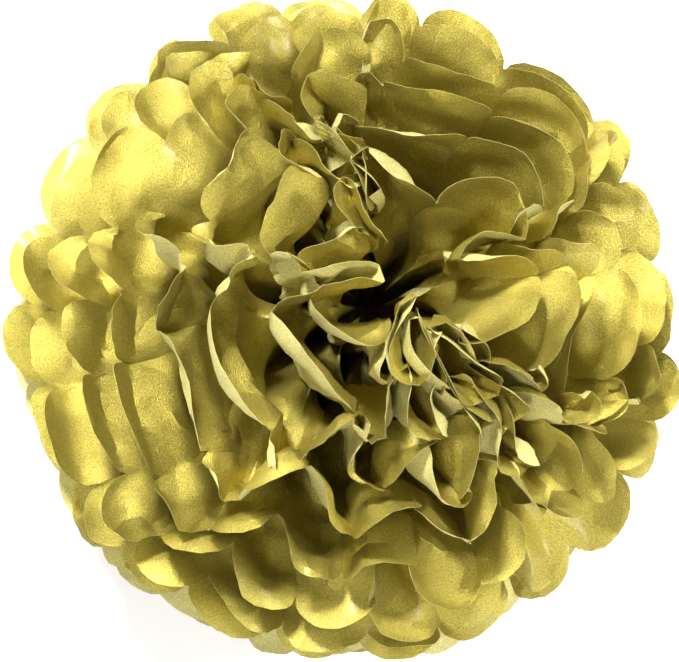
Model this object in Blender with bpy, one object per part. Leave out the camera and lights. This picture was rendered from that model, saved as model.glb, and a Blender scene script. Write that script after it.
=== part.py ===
"""A tissue paper pom pom: a stack of pleated paper sheets, tied across the middle and fluffed into a ball.

Each sheet was folded in pleats with the rest of the stack, its ends were cut round, and a wire was
twisted about the middle. Each sheet then makes two half fans, one on each side of the wire (+X and -X),
and each fan is pulled up or down to its own level of the ball, so that the petal tips lie on a sphere.

Units are metres. +Z is the ball's pole, X runs along the pleats of the flat stack, and the sheets are
worked out about the wire. At the end the whole part moves so that it stands on z = 0.
"""

import math
import random

import bmesh
import bpy
import numpy as np

# Driving dimensions
BALL_RADIUS = 0.150
SHEET_WIDTH = 0.498  # the flat sheet, across its pleats
PANELS = 12  # pleats in each sheet
SEED = 1700  # sets the chance differences between petals
PAPER = 0.0002  # stands in for 0.04 mm tissue
LEVELS = (75.0, 64.0, 54.0, 44.0, 34.0, 24.5, 14.5, 4.8)  # how far each fan is pulled from flat, degrees
SWINGS = (9.0, 8.4, 7.4, 6.8, 6.2, 5.2, 4.2, 3.0)  # the most that a level's pleats rise or dip, degrees
UNEVEN = (0.50, 0.50, 0.45, 0.36, 0.24, 0.12, 0.05, 0.03)  # how unevenly a level's pleats are spread
REACH_SHARES = (0.965, 1.0)  # how near a petal's tip comes to the ball's surface
SWING_SHARES = (0.80, 1.0)  # how much of its level's swing a crease takes
LEANS = (2.0, 1.5, 1.0, 0.5, 0.0, 0.0, 0.0, 0.0)  # how much further the -X fan is pulled up, degrees
CUPS = (1.5, 3.0, 3.5, 3.5, 3.0, 2.5, 2.0, 1.0)  # how far a level's petals close at their ends, degrees
SCALLOPS = (0.18, 0.21, 0.24, 0.27, 0.29, 0.31, 0.31, 0.31)  # depth of the rounded ends, as shares of a pleat

PANEL_WIDTH = SHEET_WIDTH / PANELS
LAYERS = len(LEVELS)
SHEETS = 2 * LAYERS

# The neck, where the wire grips the stack
NECK_WIDTH = 0.006
NECK_HALF_LENGTH = 0.003
NECK_PITCH = 0.00125  # from one sheet to the next
NECK_PLEAT = 0.0001  # how far the flattened pleats still rise and dip

# The parting, where the two halves of the ball meet
PARTING = 0.0008  # half the gap between them
PARTING_WANDER = math.radians(4.0)
WANDER_RATES = (2.1, 1.3)  # how fast it wanders from layer to layer at its two ends

# How the pleats of a fan share its half turn
MIDDLE_WIDER = 0.7
MEAN_OF_ARC = 0.64
CHANCE = 0.6
SLACK_TAKEN = 0.97  # how much of the paper's spare width a pleat's rise may take up

# How a fan leaves the neck, as shares of the ball's radius
RISE_SPAN = (-0.04, 0.12)  # it rises to its own level
HALVES_CLOSE = 0.35  # the two halves of the ball all but touch from here on
PLEATS_OPEN = (0.32, 0.82)  # the shared pleats of the stack give way to the sheet's own
PLEATS_DEEPEN = (0.09, 0.28)  # before that, they grow from flat to this deep
DEEP_PLEAT = math.radians(19)
POLE_PLEAT = math.radians(22)  # the shared pleats fade out within about this angle of a pole
CUP_SPAN = (0.55, 1.0)
BULGE_SPAN = (0.35, 0.95)
PANEL_BULGE = 0.0025

# The whole ball
WAVE_SIZE = 0.0022
WAVE_LENGTH = 0.12
WAVE_SPAN = (0.15, 0.9)  # the waves grow outwards over this part of the radius
SQUASH_START = 0.118  # below this depth the paper is pressed by the ball's own weight
SQUASH_LENGTH = 0.030
SPLAY = 0.16  # how far the pressed paper spreads

# The wire
WIRE_RADIUS = 0.00045
WIRE_LOOP_Y = 0.0046
WIRE_LOOP_Z = 0.0109
LOOP_OPENING = 0.14  # half the angle left open where the twist starts, radians
TWIST_START = 0.0016
TWIST_RADIUS = 0.00068
TWIST_PITCH = 0.0036
TWIST_TURNS = 3
TWIST_STEPS = 8
WIRE_POINTS = 32

FAN_ROWS = (0.0, 0.014, 0.075)  # distances from the neck, the rim being the last row
COLUMNS = 2 * PANELS
STEP_ACROSS = 0.02  # the small steps that give the paper's own slope, in panels and in metres
STEP_OUT = 0.001

GOLD = (0.58, 0.45, 0.07, 1.0)
WIRE = (0.55, 0.55, 0.56, 1.0)


def smooth(start, end, x):
    """0 before start, 1 after end, and an easy ramp between."""
    t = np.clip((x - start) / (end - start), 0.0, 1.0)
    return t * t * (3.0 - 2.0 * t)


def pleat_angles(layer, side, place, rng):
    """The azimuth of each crease of a half fan at the rim, bunched towards the parting plane."""
    shares = []
    for panel in range(PANELS):
        middle = math.sin(math.pi * (panel + 0.5) / PANELS)
        chance = CHANCE * rng.uniform(-1.0, 1.0)
        shares.append(1.0 + UNEVEN[place] * (MIDDLE_WIDER * (middle - MEAN_OF_ARC) + chance))
    # The parting wanders a little from one layer to the next: what one side gives up the other takes.
    low = -math.pi / 2 + side * PARTING_WANDER * math.sin(WANDER_RATES[0] * layer)
    high = math.pi / 2 + side * PARTING_WANDER * math.sin(WANDER_RATES[1] * layer + 1.0)
    ends = np.concatenate([[0.0], np.cumsum(shares)])
    return low + (high - low) * ends / ends[-1]


def half_fan(layer, side):
    """One half of a sheet: its level, creases, bulges and reaches. Layer 0 is at the top pole."""
    rng = random.Random(SEED + 10 * layer + side)
    sign = 1.0 if layer < LAYERS else -1.0
    place = layer if layer < LAYERS else SHEETS - 1 - layer
    level = sign * math.radians(LEVELS[place] - LEANS[place] * side)
    swing = math.radians(SWINGS[place])
    azimuths = pleat_angles(layer, side, place, rng)
    spans = BALL_RADIUS * math.cos(level) * np.diff(azimuths)
    rises = SLACK_TAKEN * np.sqrt(np.maximum(PANEL_WIDTH**2 - spans**2, 1e-6)) / BALL_RADIUS
    rises = np.concatenate([rises[:1], rises, rises[-1:]])
    swings = []
    for crease in range(PANELS + 1):
        most = min(rises[crease], rises[crease + 1]) / 2
        up = 1.0 if crease % 2 == 0 else -1.0
        swings.append(up * min(most, swing) * rng.uniform(*SWING_SHARES))
    bulges = [PANEL_BULGE * rng.uniform(-1.0, 1.0) for _ in range(PANELS)]
    reaches = [BALL_RADIUS * rng.uniform(*REACH_SHARES) for _ in range(PANELS)]
    neck_z = NECK_PITCH * ((SHEETS - 1) / 2 - layer)
    return {
        "level": level,
        "cup": sign * math.radians(CUPS[place]),
        "scallop": SCALLOPS[place] * PANEL_WIDTH,
        "side": side,
        "neck_z": neck_z,
        "azimuths": azimuths,
        "swings": np.array(swings),
        "bulges": np.array(bulges),
        "reaches": np.array(reaches),
    }


def fan_points(fan, across, out):
    """Points of a half fan, before the ball's own waves: across in panels, out in metres from the neck."""
    s = out / BALL_RADIUS
    crease = np.arange(PANELS + 1)
    even = math.pi * (across / PANELS - 0.5)
    own = np.interp(across, crease, fan["azimuths"])
    opened = smooth(*PLEATS_OPEN, s)
    azimuth = even + (own - even) * opened
    pleat = 1.0 - 2.0 * np.abs((across + 1.0) % 2.0 - 1.0)
    deep = DEEP_PLEAT * smooth(*PLEATS_DEEPEN, s) * (1.0 - opened)
    level = fan["level"] * smooth(*RISE_SPAN, s)
    room = 1.0 - np.exp((np.abs(level) - math.pi / 2) / POLE_PLEAT)
    elevation = level - deep * room * pleat
    elevation = elevation + np.interp(across, crease, fan["swings"]) * opened
    elevation = elevation + fan["cup"] * smooth(*CUP_SPAN, s)
    start = NECK_HALF_LENGTH + (PARTING - NECK_HALF_LENGTH) * smooth(0.0, HALVES_CLOSE, s)
    x = fan["side"] * np.maximum(start + out * np.cos(elevation) * np.cos(azimuth), PARTING)
    y = NECK_WIDTH * (across / PANELS - 0.5) + out * np.cos(elevation) * np.sin(azimuth)
    z = fan["neck_z"] - NECK_PLEAT * pleat + out * np.sin(elevation)
    return np.stack([x, y, z], axis=-1)


def bulged_points(fan, across, out):
    """The same points with each panel bowed between its creases."""
    here = fan_points(fan, across, out)
    over = fan_points(fan, across + STEP_ACROSS, out) - fan_points(fan, across - STEP_ACROSS, out)
    along = fan_points(fan, across, out + STEP_OUT) - here
    normal = np.cross(over, along)
    length = np.linalg.norm(normal, axis=-1, keepdims=True)
    panel = np.clip(across.astype(int), 0, PANELS - 1)
    t = across - panel
    bow = fan["bulges"][panel] * 4.0 * t * (1.0 - t) * smooth(*BULGE_SPAN, out / BALL_RADIUS)
    return here + normal / np.maximum(length, 1e-12) * bow[..., None]


def ball_waves(points):
    """The soft waves and the pressed base that all the sheets share. Neighbours stay apart."""
    reach = np.linalg.norm(points, axis=-1, keepdims=True) / BALL_RADIUS
    grow = smooth(*WAVE_SPAN, reach)
    k = 2.0 * math.pi / WAVE_LENGTH
    x, y, z = (points[..., axis] for axis in range(3))
    waves = np.stack(
        [
            np.sin(k * y + 0.6) + 0.6 * np.sin(1.7 * k * z + 2.0),
            np.sin(k * z + 1.9) + 0.6 * np.sin(1.6 * k * x + 0.3),
            np.sin(k * x + 4.1) + 0.6 * np.sin(1.8 * k * y + 5.2),
        ],
        axis=-1,
    )
    moved = points + WAVE_SIZE * grow * waves
    deeper = np.maximum(-moved[..., 2] - SQUASH_START, 0.0)
    pressed = deeper / (1.0 + deeper / SQUASH_LENGTH)
    moved[..., 2] += deeper - pressed
    moved[..., :2] *= (1.0 + SPLAY * deeper / SQUASH_LENGTH)[..., None]
    return moved


def rim_reach(fan, across):
    """How far the paper reaches at this place across: a rounded scallop on each panel."""
    panel = np.clip(across.astype(int), 0, PANELS - 1)
    t = across - panel
    round_off = 1.0 - np.sqrt(np.clip(1.0 - (2.0 * t - 1.0) ** 2, 0.0, 1.0))
    # A cusp belongs to two panels, so its reach is shared between them.
    crease = np.arange(PANELS + 1)
    edge = np.concatenate([fan["reaches"][:1], fan["reaches"], fan["reaches"][-1:]])
    cusp = np.interp(across, crease, (edge[:-1] + edge[1:]) / 2)
    whole = fan["reaches"][panel]
    return whole + (cusp - fan["scallop"] - whole) * round_off


def sheet_mesh(name, layer):
    """A flat grid of paper, with its round petal ends, moved to its place in the ball."""
    rows = len(FAN_ROWS)
    mesh = bpy.data.meshes.new(name)
    sheet = bmesh.new()
    bmesh.ops.create_grid(sheet, x_segments=COLUMNS, y_segments=2 * (rows + 1), size=0.5)
    rim = [e for e in sheet.edges if min(abs(v.co.y) for v in e.verts) > 0.499]
    bmesh.ops.subdivide_edges(sheet, edges=rim, cuts=1)
    flat = np.array([v.co for v in sheet.verts])
    across = np.clip((flat[:, 0] + 0.5) * PANELS, 0.0, PANELS)
    row = np.rint(np.abs(flat[:, 1]) * 2 * (rows + 1)).astype(int)
    placed = np.zeros((len(flat), 3))
    for side in (1, -1):
        fan = half_fan(layer, side)
        mine = (np.sign(flat[:, 1]) == side) & (row > 0)
        out = np.array([0.0, *FAN_ROWS, 0.0])[row[mine]]
        out = np.where(row[mine] == rows + 1, rim_reach(fan, across[mine]), out)
        placed[mine] = ball_waves(bulged_points(fan, across[mine], out))
        middle = row == 0
        placed[middle] = fan_points(fan, across[middle], np.zeros(middle.sum()))
        placed[middle, 0] = 0.0
    for vert, place in zip(sheet.verts, placed):
        vert.co = place
    bmesh.ops.triangulate(sheet, faces=sheet.faces)
    bmesh.ops.recalc_face_normals(sheet, faces=sheet.faces)
    sheet.to_mesh(mesh)
    sheet.free()
    return mesh


def paper_sheet(name, layer, material):
    """One sheet of the stack, as a solid of even thickness."""
    sheet = bpy.data.objects.new(name, sheet_mesh(name, layer))
    bpy.context.scene.collection.objects.link(sheet)
    sheet.data.materials.append(material)
    skin = sheet.modifiers.new("paper", "SOLIDIFY")
    skin.thickness = PAPER
    skin.offset = 0.0
    skin.use_rim = True
    return sheet


def wire_path():
    """The wire's centreline: up one strand of the twist, once round the stack, and back down the other."""
    turns = np.linspace(0.0, 2.0 * math.pi * TWIST_TURNS, TWIST_STEPS * TWIST_TURNS + 1)
    out = WIRE_LOOP_Y + TWIST_START + TWIST_PITCH * turns / (2.0 * math.pi)
    first = np.stack([TWIST_RADIUS * np.sin(turns), out, TWIST_RADIUS * np.cos(turns)], axis=-1)
    second = first * (-1.0, 1.0, -1.0)
    angle = np.linspace(LOOP_OPENING, 2.0 * math.pi - LOOP_OPENING, WIRE_POINTS)
    # The loop is drawn tight round the stack, so it is squarer than an ellipse.
    along, up = np.cos(angle), np.sin(angle)
    loop_y = WIRE_LOOP_Y * np.sign(along) * np.sqrt(np.abs(along))
    loop_z = WIRE_LOOP_Z * np.sign(up) * np.sqrt(np.abs(up))
    loop = np.stack([0.0 * angle, loop_y, loop_z], axis=-1)
    return np.concatenate([first[::-1], loop, second])


def tie_wire(name, material):
    """The wire that grips the stack, its two ends twisted together."""
    curve = bpy.data.curves.new(name, "CURVE")
    curve.dimensions = "3D"
    curve.bevel_depth = WIRE_RADIUS
    curve.bevel_resolution = 2
    curve.use_fill_caps = True
    path = wire_path()
    spline = curve.splines.new("POLY")
    spline.points.add(len(path) - 1)
    for point, place in zip(spline.points, path):
        point.co = (*place, 1.0)
    wire = bpy.data.objects.new(name, curve)
    bpy.context.scene.collection.objects.link(wire)
    curve.materials.append(material)
    return wire


def plain_material(name, colour, roughness, metallic):
    """A Principled material of one even colour."""
    material = bpy.data.materials.new(name)
    material.use_nodes = True
    shader = material.node_tree.nodes["Principled BSDF"]
    shader.inputs["Base Color"].default_value = colour
    shader.inputs["Roughness"].default_value = roughness
    shader.inputs["Metallic"].default_value = metallic
    return material


def stand_on_ground(pieces):
    """Moves every piece so that the part stands on z = 0 with its box centred on the origin."""
    bpy.context.view_layer.update()
    graph = bpy.context.evaluated_depsgraph_get()
    corners = []
    for piece in pieces:
        mesh = piece.evaluated_get(graph).to_mesh()
        points = np.array([v.co for v in mesh.vertices])
        corners.append(points.min(axis=0))
        corners.append(points.max(axis=0))
        piece.evaluated_get(graph).to_mesh_clear()
    low, high = np.min(corners, axis=0), np.max(corners, axis=0)
    for piece in pieces:
        piece.location = (-(low[0] + high[0]) / 2, -(low[1] + high[1]) / 2, -low[2])


def main():
    for old in list(bpy.data.objects):
        bpy.data.objects.remove(old)
    gold = plain_material("gold_tissue", GOLD, 0.42, 0.6)
    steel = plain_material("steel_wire", WIRE, 0.35, 1.0)
    pieces = [paper_sheet(f"tissue_sheet_{layer + 1:02d}", layer, gold) for layer in range(SHEETS)]
    pieces.append(tie_wire("centre_tie", steel))
    stand_on_ground(pieces)


main()
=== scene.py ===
"""A tissue paper pom pom: sixteen pleated sheets of gold tissue, tied and fluffed into a ball.

Each sheet starts as a flat grid of paper. Its pleats, its rounded petal ends and its place in the ball are
then worked out from a few sizes, and the paper gets its soft bows, curled tips and fine crumples.
"""

import math
import random

import bmesh
import bpy
import numpy as np
from bpy.props import FloatProperty, FloatVectorProperty, IntProperty, PointerProperty
from mathutils import Matrix, Vector


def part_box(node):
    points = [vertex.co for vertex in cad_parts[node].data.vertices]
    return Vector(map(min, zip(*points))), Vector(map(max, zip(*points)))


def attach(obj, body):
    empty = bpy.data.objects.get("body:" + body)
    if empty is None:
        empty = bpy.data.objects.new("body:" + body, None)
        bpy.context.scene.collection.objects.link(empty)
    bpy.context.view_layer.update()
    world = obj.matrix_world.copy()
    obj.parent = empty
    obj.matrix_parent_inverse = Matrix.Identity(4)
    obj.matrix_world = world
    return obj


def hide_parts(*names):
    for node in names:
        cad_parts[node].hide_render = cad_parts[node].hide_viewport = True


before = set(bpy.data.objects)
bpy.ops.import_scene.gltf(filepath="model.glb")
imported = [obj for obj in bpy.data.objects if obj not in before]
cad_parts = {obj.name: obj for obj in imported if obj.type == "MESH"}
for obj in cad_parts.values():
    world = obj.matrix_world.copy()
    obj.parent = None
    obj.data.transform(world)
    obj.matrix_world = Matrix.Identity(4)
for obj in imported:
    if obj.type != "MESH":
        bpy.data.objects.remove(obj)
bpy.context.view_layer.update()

bl_info = {
    "name": "Tissue Paper Pom Pom",
    "version": (1, 0, 0),
    "blender": (4, 5, 0),
    "location": "3D View > Sidebar > Pom Pom",
    "description": "Folds and fluffs a tissue paper pom pom",
    "category": "Add Mesh",
}

PANELS = 12
SEED = 1700  # the same one as in the part, whose polar sheets overlap with most other seeds

# The levels of the ball, from a pole to the middle. Angles are in degrees.
LEVELS = (75.0, 64.0, 54.0, 44.0, 34.0, 24.5, 14.5, 4.8)  # how far a fan is pulled from flat
SWINGS = (8.8, 9.2, 9.2, 8.8, 8.2, 6.8, 5.2, 3.6)  # the most that its pleats rise or dip
UNEVEN = (1.10, 0.96, 0.74, 0.48, 0.28, 0.15, 0.08, 0.03)  # how unevenly its pleats are spread
RUFFLES = (2.0, 1.9, 1.8, 1.7, 1.6, 1.5, 1.5, 1.5)  # how many times the usual its broad creases are
LEANS = (2.0, 1.5, 1.0, 0.5, 0.0, 0.0, 0.0, 0.0)  # how much further the -X fan is pulled up
CUPS = (1.5, 3.0, 3.5, 3.5, 3.0, 2.5, 2.0, 1.0)  # how far its petals close at their ends
SCALLOPS = (0.18, 0.21, 0.24, 0.27, 0.29, 0.31, 0.31, 0.31)  # depth of its round ends, in pleats
LAYERS = len(LEVELS)
SHEETS = 2 * LAYERS

# How wide a pleat opens, as a share of the usual: the stack's own choices and each sheet's difference
STACK_CHOICES = (-0.75, -0.60, 0.95)
SHEET_DIFFERENCE = 0.06
MIDDLE_WIDER = 0.5
MIDDLE_USUAL = 0.64
LEAST_SHARE = 0.22

# The pleats and petals of one fan
TAUT = 0.97  # how much of the height left by the paper's width a pleat takes
LEAST_SWING = 0.90
LEAST_REACH = 0.965  # the shortest petal, as a share of the ball's radius
CURL_WAYS = (-1.0, -0.5, 0.2, 0.6, 1.0)
CURL_STARTS = (0.013, 0.024)
CURL_SLANT = 0.45
CURL_KNEE = 0.0012  # how sharply a tip starts to curl
CURL_LENGTH = 0.018
BOW_GAIN = 1.3
SWAY = 0.34  # how far the folds of the stack swing a pleat, as a share of its most
SWAY_GAIN = 1.6
SWAY_ROWS = 6.0
SWAY_SIZE = 1.9
DRIFT = 0.05  # how far a pleat strays sideways, in radians
DRIFT_COLUMNS = 0.7
DRIFT_ROWS = 3.5

# The folds in the paper: their sizes in metres, and the share of a broad one that neighbours have too
CREASE_SIZE = 0.050
CREASE_SHARED = 0.75
CRUMPLE_SIZE = 0.019
PATCH_SIZE = 0.05
PATCH_LEAST = 0.35
WAVE_HEIGHT = 0.0007
WAVE_ACROSS = 0.024
WAVE_OUT = 0.03

# The neck, where the wire grips the stack
NECK_WIDTH = 0.006
NECK_HALF_LENGTH = 0.003
NECK_PITCH = 0.00125
NECK_PLEAT = 0.0001
WIRE_RADIUS = 0.00045
WIRE_LOOP_Y = 0.0046

# How a fan leaves the neck: lengths as shares of the ball's radius, and two pleat angles
RISE = (-0.04, 0.12)
HALVES_CLOSE = 0.35
PLEATS_OPEN = (0.32, 0.82)
PLEATS_DEEPEN = (0.09, 0.28)
PETALS_CUP = (0.55, 1.0)
PETALS_BOW = (0.45, 1.0)
DEEP_PLEAT = math.radians(19)
POLE_PLEAT = math.radians(22)

# Where the two halves of the stack meet
PARTING = 0.0008
PARTING_WANDER = math.radians(4.0)
NEAR_PARTING = math.pi / 2 - 0.01

# The mesh of a sheet: the edge's bumps to a pleat, how columns and rows are spaced, and its sharp edges
RAGGED_RATE = 14.0
COLUMNS_EASED = 0.65
ROWS_POWER = 0.75
CRISP_ANGLE = math.radians(28)

# The whole ball
BALL_WAVE = 0.0022
BALL_WAVE_LENGTH = 0.12
TUCK = 0.009
TUCK_LENGTH = 0.022
TUCK_DEPTH = 0.030
SQUASH_START = 0.118
SQUASH_LENGTH = 0.030
SPLAY = 0.16

# The faces of the paper: metallic, roughness, light let through, cloudiness, grain and coat
PAPERS = {
    "gold_face": (0.85, 0.40, 0.09, 0.30, 1.0, 0.30),
    "pale_back": (0.10, 0.60, 0.20, 0.28, 1.0, 0.05),
    "cut_edge": (0.0, 0.7, 0.30, 0.05, 0.4, 0.0),
}
CLOUD_SCALE = 22.0
FIBRE_SCALE = 1500.0
SPECK_SCALE = 2200.0
CRUMPLE_SCALE = 70.0
FIBRE_SHARE = 0.75
TONE_ENDS = (0.43, 0.57)
COAT_ROUGHNESS = 0.30
THROUGH_COLOUR = (0.95, 0.87, 0.42, 1.0)
FACET_TILTS = ((42.0, 0.26), (105.0, 0.07))  # flat facets to a metre, and how far each tilts

# The studio: each lamp's name, bearing and height in degrees, size and power
SKY = 0.34
LAMP_AIM = 0.15
LAMP_DISTANCE = 1.6
LAMPS = (
    ("key", 100.0, 62.0, 0.18, 54.0),
    ("right", -25.0, 52.0, 0.20, 18.0),
    ("left", 215.0, 58.0, 0.20, 13.0),
    ("low_back", 63.0, 12.0, 0.50, 8.0),
    ("low_right", -27.0, 12.0, 0.50, 8.0),
    ("low_front", 243.0, 12.0, 0.50, 9.0),
    ("low_left", 153.0, 12.0, 0.50, 4.0),
)

# The camera: bearings and height in degrees, distance in ball radii, and where the ball stands in view
CAMERA_BEARING = 195.0
CAMERA_HEIGHT = 76.5
CAMERA_RIGHT = -27.0
CAMERA_DISTANCE = 6.0
CAMERA_AIM = 0.144
BALL_UP = 0.0045
BALL_RIGHT = 0.0036
PICTURE_SHARE = 0.998
SENSOR = 36.0


class PomSizes(bpy.types.PropertyGroup):
    ball_radius: FloatProperty(
        name="Ball radius",
        description="From the tie to the petal tips",
        default=0.150, unit="LENGTH",
    )
    sheet_width: FloatProperty(
        name="Sheet width",
        description="The flat sheet, across its pleats",
        default=0.498, unit="LENGTH",
    )
    scallop: FloatProperty(
        name="Petal roundness",
        description="How deep the rounded ends are, as a share of the usual",
        default=1.0,
    )
    bow: FloatProperty(
        name="Petal bow",
        description="How far a petal bows between its creases",
        default=0.0036, unit="LENGTH",
    )
    curl: FloatProperty(
        name="Tip curl",
        description="How far a petal's tip bends from its face",
        default=0.0050, unit="LENGTH",
    )
    crease: FloatProperty(
        name="Creases",
        description="Height of the broad facets in the paper",
        default=0.0044, unit="LENGTH",
    )
    crumple: FloatProperty(
        name="Crumple",
        description="Height of the small facets in the paper",
        default=0.0017, unit="LENGTH",
    )
    ragged: FloatProperty(
        name="Ragged edge", description="Unevenness of the cut ends", default=0.0004, unit="LENGTH"
    )
    paper: FloatProperty(
        name="Paper thickness",
        description="Thickness of the tissue",
        default=0.00011, unit="LENGTH",
    )
    columns: IntProperty(name="Columns", description="Faces across one pleat", default=14)
    rows: IntProperty(name="Rows", description="Faces from the tie to a petal's tip", default=36)


class PomColours(bpy.types.PropertyGroup):
    face: FloatVectorProperty(
        name="Gold face",
        description="The metallic side",
        subtype="COLOR", size=3, default=(0.46, 0.385, 0.075),
    )
    back: FloatVectorProperty(
        name="Pale back",
        description="The matt side",
        subtype="COLOR", size=3, default=(0.58, 0.53, 0.19),
    )
    edge: FloatVectorProperty(
        name="Cut edge",
        description="The cut edge of the paper",
        subtype="COLOR", size=3, default=(0.42, 0.37, 0.12),
    )
    wire: FloatVectorProperty(
        name="Wire",
        description="The binding wire",
        subtype="COLOR", size=3, default=(0.55, 0.55, 0.56),
    )
    floor: FloatVectorProperty(
        name="Floor",
        description="The studio floor",
        subtype="COLOR", size=3, default=(1.0, 1.0, 1.0),
    )


def smooth(start, end, x):
    """0 before start, 1 after end, and an easy ramp between."""
    t = np.clip((x - start) / (end - start), 0.0, 1.0)
    return t * t * (3.0 - 2.0 * t)


def soft_noise(u, v, seed):
    """Smooth bumps between -1 and 1 over a plane, about one to each unit."""
    table = np.random.default_rng(seed).uniform(-1.0, 1.0, (64, 64))
    left, low = np.floor(u).astype(int), np.floor(v).astype(int)
    across, up = u - left, v - low
    across, up = across * across * (3.0 - 2.0 * across), up * up * (3.0 - 2.0 * up)
    bottom = table[left % 64, low % 64] * (1 - across) + table[(left + 1) % 64, low % 64] * across
    top = table[left % 64, (low + 1) % 64] * (1 - across) + table[(left + 1) % 64, (low + 1) % 64] * across
    return bottom * (1 - up) + top * up


def facets(u, v, size, folds, seed):
    """A crumpled height between -1 and 1: flat facets that meet in creases."""
    rng = np.random.default_rng(seed)
    height = np.zeros_like(u)
    for fold in range(folds):
        angle = rng.uniform(0.0, math.pi)
        period = size * rng.uniform(0.7, 1.7)
        line = (u * math.cos(angle) + v * math.sin(angle)) / period + rng.uniform()
        line = line + 0.12 * soft_noise(u / size * 0.5, v / size * 0.5, seed + fold + 1)
        height += np.abs(line % 1.0 - 0.5) * 4.0 - 1.0
    return height / folds


class Fan:
    """One half of a sheet: the azimuths, swings, bows and reaches of its creases and panels."""

    def __init__(self, layer, side, sizes):
        rng = random.Random(SEED + 10 * layer + side)
        up = layer < LAYERS
        place = layer if up else SHEETS - 1 - layer
        self.layer, self.side = layer, side
        self.radius = sizes.ball_radius
        self.panel_width = sizes.sheet_width / PANELS
        self.sign = 1 if up else -1
        self.level = math.radians(LEVELS[place] - LEANS[place] * side) * self.sign
        self.cup = math.radians(CUPS[place]) * self.sign
        self.neck_z = NECK_PITCH * ((SHEETS - 1) / 2 - layer)
        self.azimuths = self.crease_azimuths(UNEVEN[place], rng)
        spans = self.radius * math.cos(self.level) * np.diff(self.azimuths)
        rises = TAUT * np.sqrt(np.maximum(self.panel_width**2 - spans**2, 1e-6)) / self.radius
        rises = np.concatenate([rises[:1], rises, rises[-1:]])
        self.most = math.radians(SWINGS[place])
        swings = []
        for crease in range(PANELS + 1):
            sign = 1.0 if crease % 2 == 0 else -1.0
            swing = min(min(rises[crease], rises[crease + 1]) / 2, self.most)
            swings.append(sign * swing * rng.uniform(LEAST_SWING, 1.0))
        self.swings = np.array(swings)
        self.ruffle = RUFFLES[place]
        self.bows = np.array([sizes.bow * rng.uniform(-1.0, 1.0) for _ in range(PANELS)])
        self.reaches = np.array([self.radius * rng.uniform(LEAST_REACH, 1.0) for _ in range(PANELS)])
        self.curls = np.array([sizes.curl * rng.choice(CURL_WAYS) for _ in range(PANELS)])
        self.curl_starts = np.array([rng.uniform(*CURL_STARTS) for _ in range(PANELS)])
        self.curl_slants = np.array([rng.uniform(-CURL_SLANT, CURL_SLANT) for _ in range(PANELS)])
        self.scallop = sizes.scallop * SCALLOPS[place] * self.panel_width
        self.seed = 100 + 7 * layer + (3 if side > 0 else 0)
        # Neighbours share the folds drawn from this seed, so fewer of them pass through each other.
        self.stack_seed = 40 + 11 * self.side + 23 * self.sign

    def crease_azimuths(self, uneven, rng):
        # The sheets were pleated as one stack, so each quarter of it shares most of its unevenness.
        stack = random.Random(SEED + 5 * self.side + 3 * self.sign)
        shares = []
        for panel in range(PANELS):
            middle = math.sin(math.pi * (panel + 0.5) / PANELS)
            chance = stack.choice(STACK_CHOICES) + SHEET_DIFFERENCE * rng.uniform(-1.0, 1.0)
            share = 1.0 + uneven * (MIDDLE_WIDER * (middle - MIDDLE_USUAL) + chance)
            shares.append(max(share, LEAST_SHARE))
        low = -math.pi / 2 + self.side * PARTING_WANDER * math.sin(2.1 * self.layer)
        high = math.pi / 2 + self.side * PARTING_WANDER * math.sin(1.3 * self.layer + 1.0)
        ends = np.concatenate([[0.0], np.cumsum(shares)])
        return low + (high - low) * ends / ends[-1]

    def panel_of(self, across):
        return np.clip(across.astype(int), 0, PANELS - 1)

    def rim(self, across):
        """How far the paper reaches at this place across: a rounded end on each panel."""
        panel = self.panel_of(across)
        t = across - panel
        round_off = 1.0 - np.sqrt(np.clip(1.0 - (2.0 * t - 1.0) ** 2, 0.0, 1.0))
        edge = np.concatenate([self.reaches[:1], self.reaches, self.reaches[-1:]])
        cusp = np.interp(across, np.arange(PANELS + 1), (edge[:-1] + edge[1:]) / 2)
        return self.reaches[panel] + (cusp - self.scallop - self.reaches[panel]) * round_off

    def folded(self, across, out):
        """Points of the pleated fan, with across in panels and out in metres from the neck."""
        s = out / self.radius
        crease = np.arange(PANELS + 1)
        even = math.pi * (across / PANELS - 0.5)
        own = np.interp(across, crease, self.azimuths)
        opened = smooth(*PLEATS_OPEN, s)
        azimuth = even + (own - even) * opened
        pleat = 1.0 - 2.0 * np.abs((across + 1.0) % 2.0 - 1.0)
        deep = DEEP_PLEAT * smooth(*PLEATS_DEEPEN, s) * (1.0 - opened)
        level = self.level * smooth(*RISE, s)
        room = 1.0 - np.exp((np.abs(level) - math.pi / 2) / POLE_PLEAT)
        sway = SWAY_GAIN * facets(across, s * SWAY_ROWS, SWAY_SIZE, 3, self.stack_seed)
        swing = np.interp(across, crease, self.swings) + SWAY * self.most * sway
        swing = self.most * np.tanh(swing / self.most)
        elevation = level - deep * room * pleat + swing * opened + self.cup * smooth(*PETALS_CUP, s)
        drift = soft_noise(across * DRIFT_COLUMNS, s * DRIFT_ROWS, self.stack_seed + 9)
        azimuth = azimuth + DRIFT * opened * drift
        start = NECK_HALF_LENGTH + (PARTING - NECK_HALF_LENGTH) * smooth(0.0, HALVES_CLOSE, s)
        azimuth = np.clip(azimuth, -NEAR_PARTING - (1 - opened), NEAR_PARTING + (1 - opened))
        x = self.side * (start + out * np.cos(elevation) * np.cos(azimuth))
        y = NECK_WIDTH * (across / PANELS - 0.5) + out * np.cos(elevation) * np.sin(azimuth)
        z = self.neck_z - NECK_PLEAT * pleat + out * np.sin(elevation)
        return np.stack([x, y, z], axis=-1)

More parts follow.
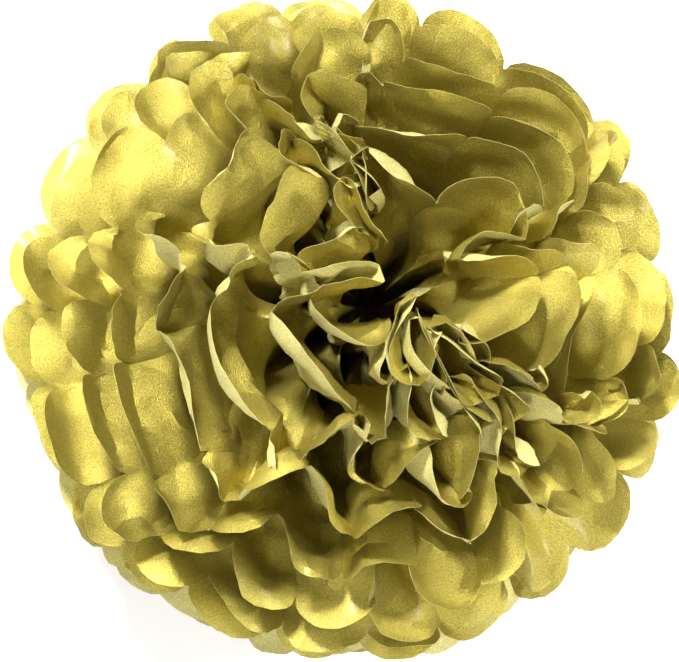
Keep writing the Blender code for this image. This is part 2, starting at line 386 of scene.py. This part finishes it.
    def off_face(self, across, out, sizes):
        """How far the paper stands off its pleated face: bows, curled tips and crumples."""
        panel = self.panel_of(across)
        t = across - panel
        s = out / self.radius
        bow = BOW_GAIN * self.bows[panel] * 4.0 * t * (1.0 - t) * smooth(*PETALS_BOW, s)
        slant = self.curl_slants[panel] * (t - 0.5) * self.panel_width
        past = out + slant - (self.reaches[panel] - self.curl_starts[panel])
        fold = np.logaddexp(0.0, past / CURL_KNEE) * CURL_KNEE / CURL_LENGTH
        curl = self.curls[panel] * fold * np.sqrt(np.clip(4.0 * t * (1.0 - t), 0.0, 1.0))
        u, v = across * self.panel_width, out
        patch = np.abs(soft_noise(u / PATCH_SIZE, v / PATCH_SIZE, self.seed + 3))
        patchy = PATCH_LEAST + (1.0 - PATCH_LEAST) * patch
        shared = facets(u, v, CREASE_SIZE, 2, self.stack_seed + 14)
        own = facets(u, v, CREASE_SIZE, 2, self.seed + 6)
        broad = CREASE_SHARED * shared + (1.0 - CREASE_SHARED) * own
        broad = sizes.crease * self.ruffle * broad * smooth(0.35, 0.8, s)
        small = facets(u, v, CRUMPLE_SIZE, 2, self.seed + 4)
        small = sizes.crumple * small * smooth(0.2, 0.6, s) * patchy
        waves = soft_noise(u / WAVE_ACROSS, v / WAVE_OUT, self.seed + 5)
        waves = WAVE_HEIGHT * waves * smooth(0.3, 0.7, s)
        return bow + curl + broad + small + waves

    def points(self, across, out, sizes):
        here = self.folded(across, out)
        step = 0.02
        over = self.folded(across + step, out) - self.folded(across - step, out)
        along = self.folded(across, out + 0.001) - here
        normal = np.cross(along, over) * self.side
        length = np.linalg.norm(normal, axis=-1, keepdims=True)
        normal = normal / np.maximum(length, 1e-12)
        moved = here + normal * self.off_face(across, out, sizes)[..., None]
        # The two halves stop short of each other at the parting.
        depth = self.side * moved[..., 0]
        moved[..., 0] = self.side * np.where(depth < PARTING / 2, PARTING / 2, depth)
        return moved


def ball_waves(points, radius):
    """The soft waves, the tuck and the pressed base. They move all the sheets alike."""
    reach = np.linalg.norm(points, axis=-1, keepdims=True) / radius
    grow = smooth(0.15, 0.9, reach)
    k = 2.0 * math.pi / BALL_WAVE_LENGTH
    x, y, z = (points[..., axis] for axis in range(3))
    waves = np.stack(
        [
            np.sin(k * y + 0.6) + 0.6 * np.sin(1.7 * k * z + 2.0),
            np.sin(k * z + 1.9) + 0.6 * np.sin(1.6 * k * x + 0.3),
            np.sin(k * x + 4.1) + 0.6 * np.sin(1.8 * k * y + 5.2),
        ],
        axis=-1,
    )
    moved = points + BALL_WAVE * grow * waves
    # Where the two halves meet, both are pushed the same way, so that they tuck into each other.
    tuck = soft_noise(y / TUCK_LENGTH, z / TUCK_LENGTH, SEED)
    moved[..., 0] += TUCK * tuck * np.exp(-np.abs(x) / TUCK_DEPTH) * grow[..., 0]
    deeper = np.maximum(-moved[..., 2] - SQUASH_START, 0.0)
    pressed = deeper / (1.0 + deeper / SQUASH_LENGTH)
    moved[..., 2] += deeper - pressed
    moved[..., :2] *= (1.0 + SPLAY * deeper / SQUASH_LENGTH)[..., None]
    return moved


def tie_centre():
    """Where the middle of the tie stands in the finished part."""
    low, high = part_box("centre_tie")
    return Vector(((low[0] + high[0]) / 2, low[1] + WIRE_LOOP_Y + WIRE_RADIUS, (low[2] + high[2]) / 2))


def node_kit(material):
    """Functions that add a node with its values and link two sockets, and the material's nodes."""
    tree = material.node_tree

    def add(kind, **values):
        node = tree.nodes.new(kind)
        for key, value in values.items():
            if hasattr(node, key):
                setattr(node, key, value)
            else:
                node.inputs[key.replace("_", " ")].default_value = value
        return node

    return add, tree.links.new, tree.nodes


def paper_material(name, colour, metallic, roughness, glow, mottle, grain, coat):
    """Tissue paper: fibre grain, cloudy tone, and some light let through."""
    material = bpy.data.materials.new(name)
    material.use_nodes = True
    add, link, nodes = node_kit(material)
    nodes.clear()
    where = add("ShaderNodeTexCoord")
    clouds = add("ShaderNodeTexNoise", Scale=CLOUD_SCALE, Detail=3.0, Roughness=0.5)
    fibres = add("ShaderNodeTexNoise", Scale=FIBRE_SCALE, Detail=3.0, Roughness=0.75)
    specks = add("ShaderNodeTexNoise", Scale=SPECK_SCALE, Detail=2.0, Roughness=0.7)
    for texture in (clouds, fibres, specks):
        link(where.outputs["Object"], texture.inputs["Vector"])
    tones = add("ShaderNodeValToRGB")
    dark = tuple(c * (1.0 - mottle) for c in colour)
    light = tuple(min(c * (1.0 + mottle), 1.0) for c in colour)
    for stop, position, tone in zip(tones.color_ramp.elements, TONE_ENDS, (dark, light)):
        stop.position = position
        stop.color = (*tone, 1.0)
    mixed = add("ShaderNodeMath", operation="MULTIPLY_ADD")
    link(fibres.outputs["Fac"], mixed.inputs[0])
    mixed.inputs[1].default_value = FIBRE_SHARE
    share = add("ShaderNodeMath", operation="MULTIPLY")
    link(clouds.outputs["Fac"], share.inputs[0])
    share.inputs[1].default_value = 1.0 - FIBRE_SHARE
    link(share.outputs[0], mixed.inputs[2])
    link(mixed.outputs[0], tones.inputs["Fac"])
    crumples = add("ShaderNodeTexVoronoi", Scale=CRUMPLE_SCALE)
    link(where.outputs["Object"], crumples.inputs["Vector"])
    crumpled = add("ShaderNodeBump", Strength=0.25, Distance=0.0015)
    link(crumples.outputs["Distance"], crumpled.inputs["Height"])
    bump = add("ShaderNodeBump", Strength=grain, Distance=0.0004)
    link(crumpled.outputs["Normal"], bump.inputs["Normal"])
    rough_grain = add("ShaderNodeMath", operation="MULTIPLY_ADD")
    link(specks.outputs["Fac"], rough_grain.inputs[0])
    rough_grain.inputs[1].default_value = 0.6
    link(fibres.outputs["Fac"], rough_grain.inputs[2])
    link(rough_grain.outputs[0], bump.inputs["Height"])
    normal = bump.outputs["Normal"]
    for fineness, tilt in FACET_TILTS:
        planes = add("ShaderNodeTexVoronoi", Scale=fineness)
        link(where.outputs["Object"], planes.inputs["Vector"])
        lean = add("ShaderNodeVectorMath", operation="MULTIPLY_ADD")
        link(planes.outputs["Color"], lean.inputs[0])
        lean.inputs[1].default_value = (tilt, tilt, tilt)
        lean.inputs[2].default_value = (-tilt / 2, -tilt / 2, -tilt / 2)
        turned = add("ShaderNodeVectorMath", operation="ADD")
        link(normal, turned.inputs[0])
        link(lean.outputs["Vector"], turned.inputs[1])
        normal = turned.outputs["Vector"]
    unit = add("ShaderNodeVectorMath", operation="NORMALIZE")
    link(normal, unit.inputs[0])
    shader = add("ShaderNodeBsdfPrincipled", Metallic=metallic)
    shader.inputs["Coat Weight"].default_value = coat
    shader.inputs["Coat Roughness"].default_value = COAT_ROUGHNESS
    link(tones.outputs["Color"], shader.inputs["Base Color"])
    spread = add("ShaderNodeMapRange")
    link(fibres.outputs["Fac"], spread.inputs["Value"])
    spread.inputs["To Min"].default_value = roughness - 0.10
    spread.inputs["To Max"].default_value = roughness + 0.12
    link(spread.outputs["Result"], shader.inputs["Roughness"])
    link(unit.outputs["Vector"], shader.inputs["Normal"])
    through = add("ShaderNodeBsdfTranslucent")
    through.inputs["Color"].default_value = THROUGH_COLOUR
    link(unit.outputs["Vector"], through.inputs["Normal"])
    blend = add("ShaderNodeMixShader", Fac=glow)
    link(shader.outputs["BSDF"], blend.inputs[1])
    link(through.outputs["BSDF"], blend.inputs[2])
    output = add("ShaderNodeOutputMaterial")
    link(blend.outputs["Shader"], output.inputs["Surface"])
    return material


def wire_material(colour):
    """Plain drawn binding wire with fine scratches along it."""
    material = bpy.data.materials.new("binding_wire")
    material.use_nodes = True
    add, link, nodes = node_kit(material)
    shader = nodes["Principled BSDF"]
    shader.inputs["Base Color"].default_value = (*colour, 1.0)
    shader.inputs["Metallic"].default_value = 1.0
    where = add("ShaderNodeTexCoord")
    scratches = add("ShaderNodeTexNoise", Scale=900.0, Detail=3.0)
    link(where.outputs["Object"], scratches.inputs["Vector"])
    spread = add("ShaderNodeMapRange")
    link(scratches.outputs["Fac"], spread.inputs["Value"])
    spread.inputs["To Min"].default_value = 0.22
    spread.inputs["To Max"].default_value = 0.50
    link(spread.outputs["Result"], shader.inputs["Roughness"])
    bump = add("ShaderNodeBump", Strength=0.3, Distance=0.0001)
    link(scratches.outputs["Fac"], bump.inputs["Height"])
    link(bump.outputs["Normal"], shader.inputs["Normal"])
    return material


def apply_skin(piece):
    """Makes the thickness part of the mesh, and keeps the cut edge crisp."""
    graph = bpy.context.evaluated_depsgraph_get()
    solid = bpy.data.meshes.new_from_object(piece.evaluated_get(graph))
    thin = piece.data
    piece.modifiers.clear()
    piece.data = solid
    bpy.data.meshes.remove(thin)
    solid.set_sharp_from_angle(angle=CRISP_ANGLE)


def tissue_sheet(layer, sizes, centre, materials):
    """A flat grid of tissue, pleated, fluffed and given its thickness."""
    columns, rows = sizes.columns * PANELS, sizes.rows
    flat = bmesh.new()
    bmesh.ops.create_grid(flat, x_segments=columns, y_segments=2 * rows, size=0.5)
    mesh = bpy.data.meshes.new(f"tissue_{layer + 1:02d}")
    flat.to_mesh(mesh)
    flat.free()
    grid = np.zeros(len(mesh.vertices) * 3)
    mesh.vertices.foreach_get("co", grid)
    grid = grid.reshape(-1, 3)
    even = (0.5 - grid[:, 0]) * PANELS
    panel = np.clip(even.astype(int), 0, PANELS - 1)
    t = even - panel
    eased = (1.0 - np.cos(math.pi * t)) / 2
    across = panel + (1.0 - COLUMNS_EASED) * t + COLUMNS_EASED * eased
    share = (np.abs(grid[:, 1]) * 2.0) ** ROWS_POWER
    placed = np.zeros_like(grid)
    for side in (1, -1):
        fan = Fan(layer, side, sizes)
        mine = np.sign(np.round(grid[:, 1], 6)) == side
        bumps = soft_noise(across[mine] * RAGGED_RATE, np.zeros(mine.sum()), fan.seed + 7)
        out = share[mine] * fan.rim(across[mine]) + sizes.ragged * bumps * share[mine]
        placed[mine] = ball_waves(fan.points(across[mine], out, sizes), sizes.ball_radius)
    middle = np.round(grid[:, 1], 6) == 0
    placed[middle] = fan.folded(across[middle], np.zeros(middle.sum()))
    placed[middle, 0] = 0.0
    mesh.vertices.foreach_set("co", (placed + np.array(centre)).ravel())
    mesh.update()
    mesh.shade_smooth()
    piece = bpy.data.objects.new(mesh.name, mesh)
    bpy.context.scene.collection.objects.link(piece)
    for material in materials:
        mesh.materials.append(material)
    skin = piece.modifiers.new("paper", "SOLIDIFY")
    skin.thickness = sizes.paper
    skin.offset = 0.0
    skin.use_rim = True
    skin.material_offset = 1
    skin.material_offset_rim = 2
    apply_skin(piece)
    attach(piece, "root")
    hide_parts(f"tissue_sheet_{layer + 1:02d}")
    return piece


class POMPOM_OT_sheets(bpy.types.Operator):
    """Pleats the sixteen sheets of tissue and fluffs them into a ball"""

    bl_idname = "pompom.sheets"
    bl_label = "Tissue sheets"

    def execute(self, context):
        sizes, colours = context.scene.pom_sizes, context.scene.pom_colours
        tints = (tuple(colours.face), tuple(colours.back), tuple(colours.edge))
        gold, pale, edge = (paper_material(name, tint, *PAPERS[name]) for name, tint in zip(PAPERS, tints))
        centre = tie_centre()
        for layer in range(SHEETS):
            # The gold side faces the pole that the sheet is nearer.
            faces = (gold, pale) if layer < LAYERS else (pale, gold)
            tissue_sheet(layer, sizes, centre, (*faces, edge))
        return {"FINISHED"}


class POMPOM_OT_tie(bpy.types.Operator):
    """Gives the twisted wire tie its metal finish"""

    bl_idname = "pompom.tie"
    bl_label = "Wire tie"

    def execute(self, context):
        tie = bpy.data.objects["centre_tie"]
        material = wire_material(tuple(context.scene.pom_colours.wire))
        for slot in tie.material_slots:
            slot.material = material
        return {"FINISHED"}


class POMPOM_OT_stage(bpy.types.Operator):
    """Sets a pale floor, soft light and the camera"""

    bl_idname = "pompom.stage"
    bl_label = "Studio"

    def execute(self, context):
        colours = context.scene.pom_colours
        studio_floor(tuple(colours.floor))
        studio_light()
        studio_camera(context.scene.pom_sizes.ball_radius)
        return {"FINISHED"}


def studio_floor(colour):
    sheet = bmesh.new()
    bmesh.ops.create_grid(sheet, x_segments=1, y_segments=1, size=4.0)
    mesh = bpy.data.meshes.new("floor")
    sheet.to_mesh(mesh)
    sheet.free()
    floor = bpy.data.objects.new("floor", mesh)
    bpy.context.scene.collection.objects.link(floor)
    material = bpy.data.materials.new("floor_paint")
    material.use_nodes = True
    shader = material.node_tree.nodes["Principled BSDF"]
    shader.inputs["Base Color"].default_value = (*colour, 1.0)
    shader.inputs["Roughness"].default_value = 0.9
    mesh.materials.append(material)


def area_light(name, place, aim, size, power):
    light = bpy.data.lights.new(name, "AREA")
    light.size = size
    light.energy = power
    lamp = bpy.data.objects.new(name, light)
    lamp.location = place
    lamp.rotation_euler = (aim - place).to_track_quat("-Z", "Y").to_euler()
    bpy.context.scene.collection.objects.link(lamp)


def studio_light():
    world = bpy.data.worlds.new("studio")
    world.use_nodes = True
    world.node_tree.nodes["Background"].inputs["Color"].default_value = (1.0, 1.0, 1.0, 1.0)
    world.node_tree.nodes["Background"].inputs["Strength"].default_value = SKY
    bpy.context.scene.world = world
    for name, around, above, size, power in LAMPS:
        around, above = math.radians(around), math.radians(above)
        flat = LAMP_DISTANCE * math.cos(above)
        high = LAMP_DISTANCE * math.sin(above)
        place = Vector((flat * math.cos(around), flat * math.sin(around), high))
        area_light(name, place, Vector((0.0, 0.0, LAMP_AIM)), size, power)


def studio_camera(radius):
    """Looks down on the ball, a little off its pole."""
    centre = Vector((0.0, 0.0, CAMERA_AIM))
    around, above = math.radians(CAMERA_BEARING), math.radians(CAMERA_HEIGHT)
    flat = math.cos(above)
    toward = Vector((flat * math.cos(around), flat * math.sin(around), math.sin(above)))
    distance = CAMERA_DISTANCE * radius
    back = toward.normalized()
    turned = math.radians(CAMERA_RIGHT)
    picture_right = Vector((math.cos(turned), math.sin(turned), 0.0))
    right = (picture_right - back * picture_right.dot(back)).normalized()
    up = back.cross(right)
    centre -= BALL_UP * up + BALL_RIGHT * right
    data = bpy.data.cameras.new("camera")
    camera = bpy.data.objects.new("camera", data)
    turn = Matrix((right, up, back)).transposed().to_4x4()
    camera.matrix_world = Matrix.Translation(centre + toward * distance) @ turn
    data.sensor_width = SENSOR
    data.lens = SENSOR / 2 / (PICTURE_SHARE * math.tan(math.asin(radius / distance)))
    bpy.context.scene.collection.objects.link(camera)
    bpy.context.scene.camera = camera
    bpy.context.scene.view_settings.view_transform = "Standard"


class POMPOM_PT_panel(bpy.types.Panel):
    """Lists the steps that make the pom pom"""

    bl_label = "Pom Pom"
    bl_idname = "POMPOM_PT_panel"
    bl_space_type = "VIEW_3D"
    bl_region_type = "UI"
    bl_category = "Pom Pom"

    def draw(self, context):
        for group in (context.scene.pom_sizes, context.scene.pom_colours):
            box = self.layout.box()
            for name in group.__annotations__:
                box.prop(group, name)
        for step in STEPS:
            self.layout.operator(step.bl_idname)


STEPS = (POMPOM_OT_sheets, POMPOM_OT_tie, POMPOM_OT_stage)
CLASSES = (PomSizes, PomColours, *STEPS, POMPOM_PT_panel)


def register():
    for cls in CLASSES:
        bpy.utils.register_class(cls)
    bpy.types.Scene.pom_sizes = PointerProperty(type=PomSizes)
    bpy.types.Scene.pom_colours = PointerProperty(type=PomColours)


def unregister():
    del bpy.types.Scene.pom_colours
    del bpy.types.Scene.pom_sizes
    for cls in reversed(CLASSES):
        bpy.utils.unregister_class(cls)


def main():
    register()
    bpy.ops.pompom.sheets()
    bpy.ops.pompom.tie()
    bpy.ops.pompom.stage()


if __name__ == "__main__":
    main()
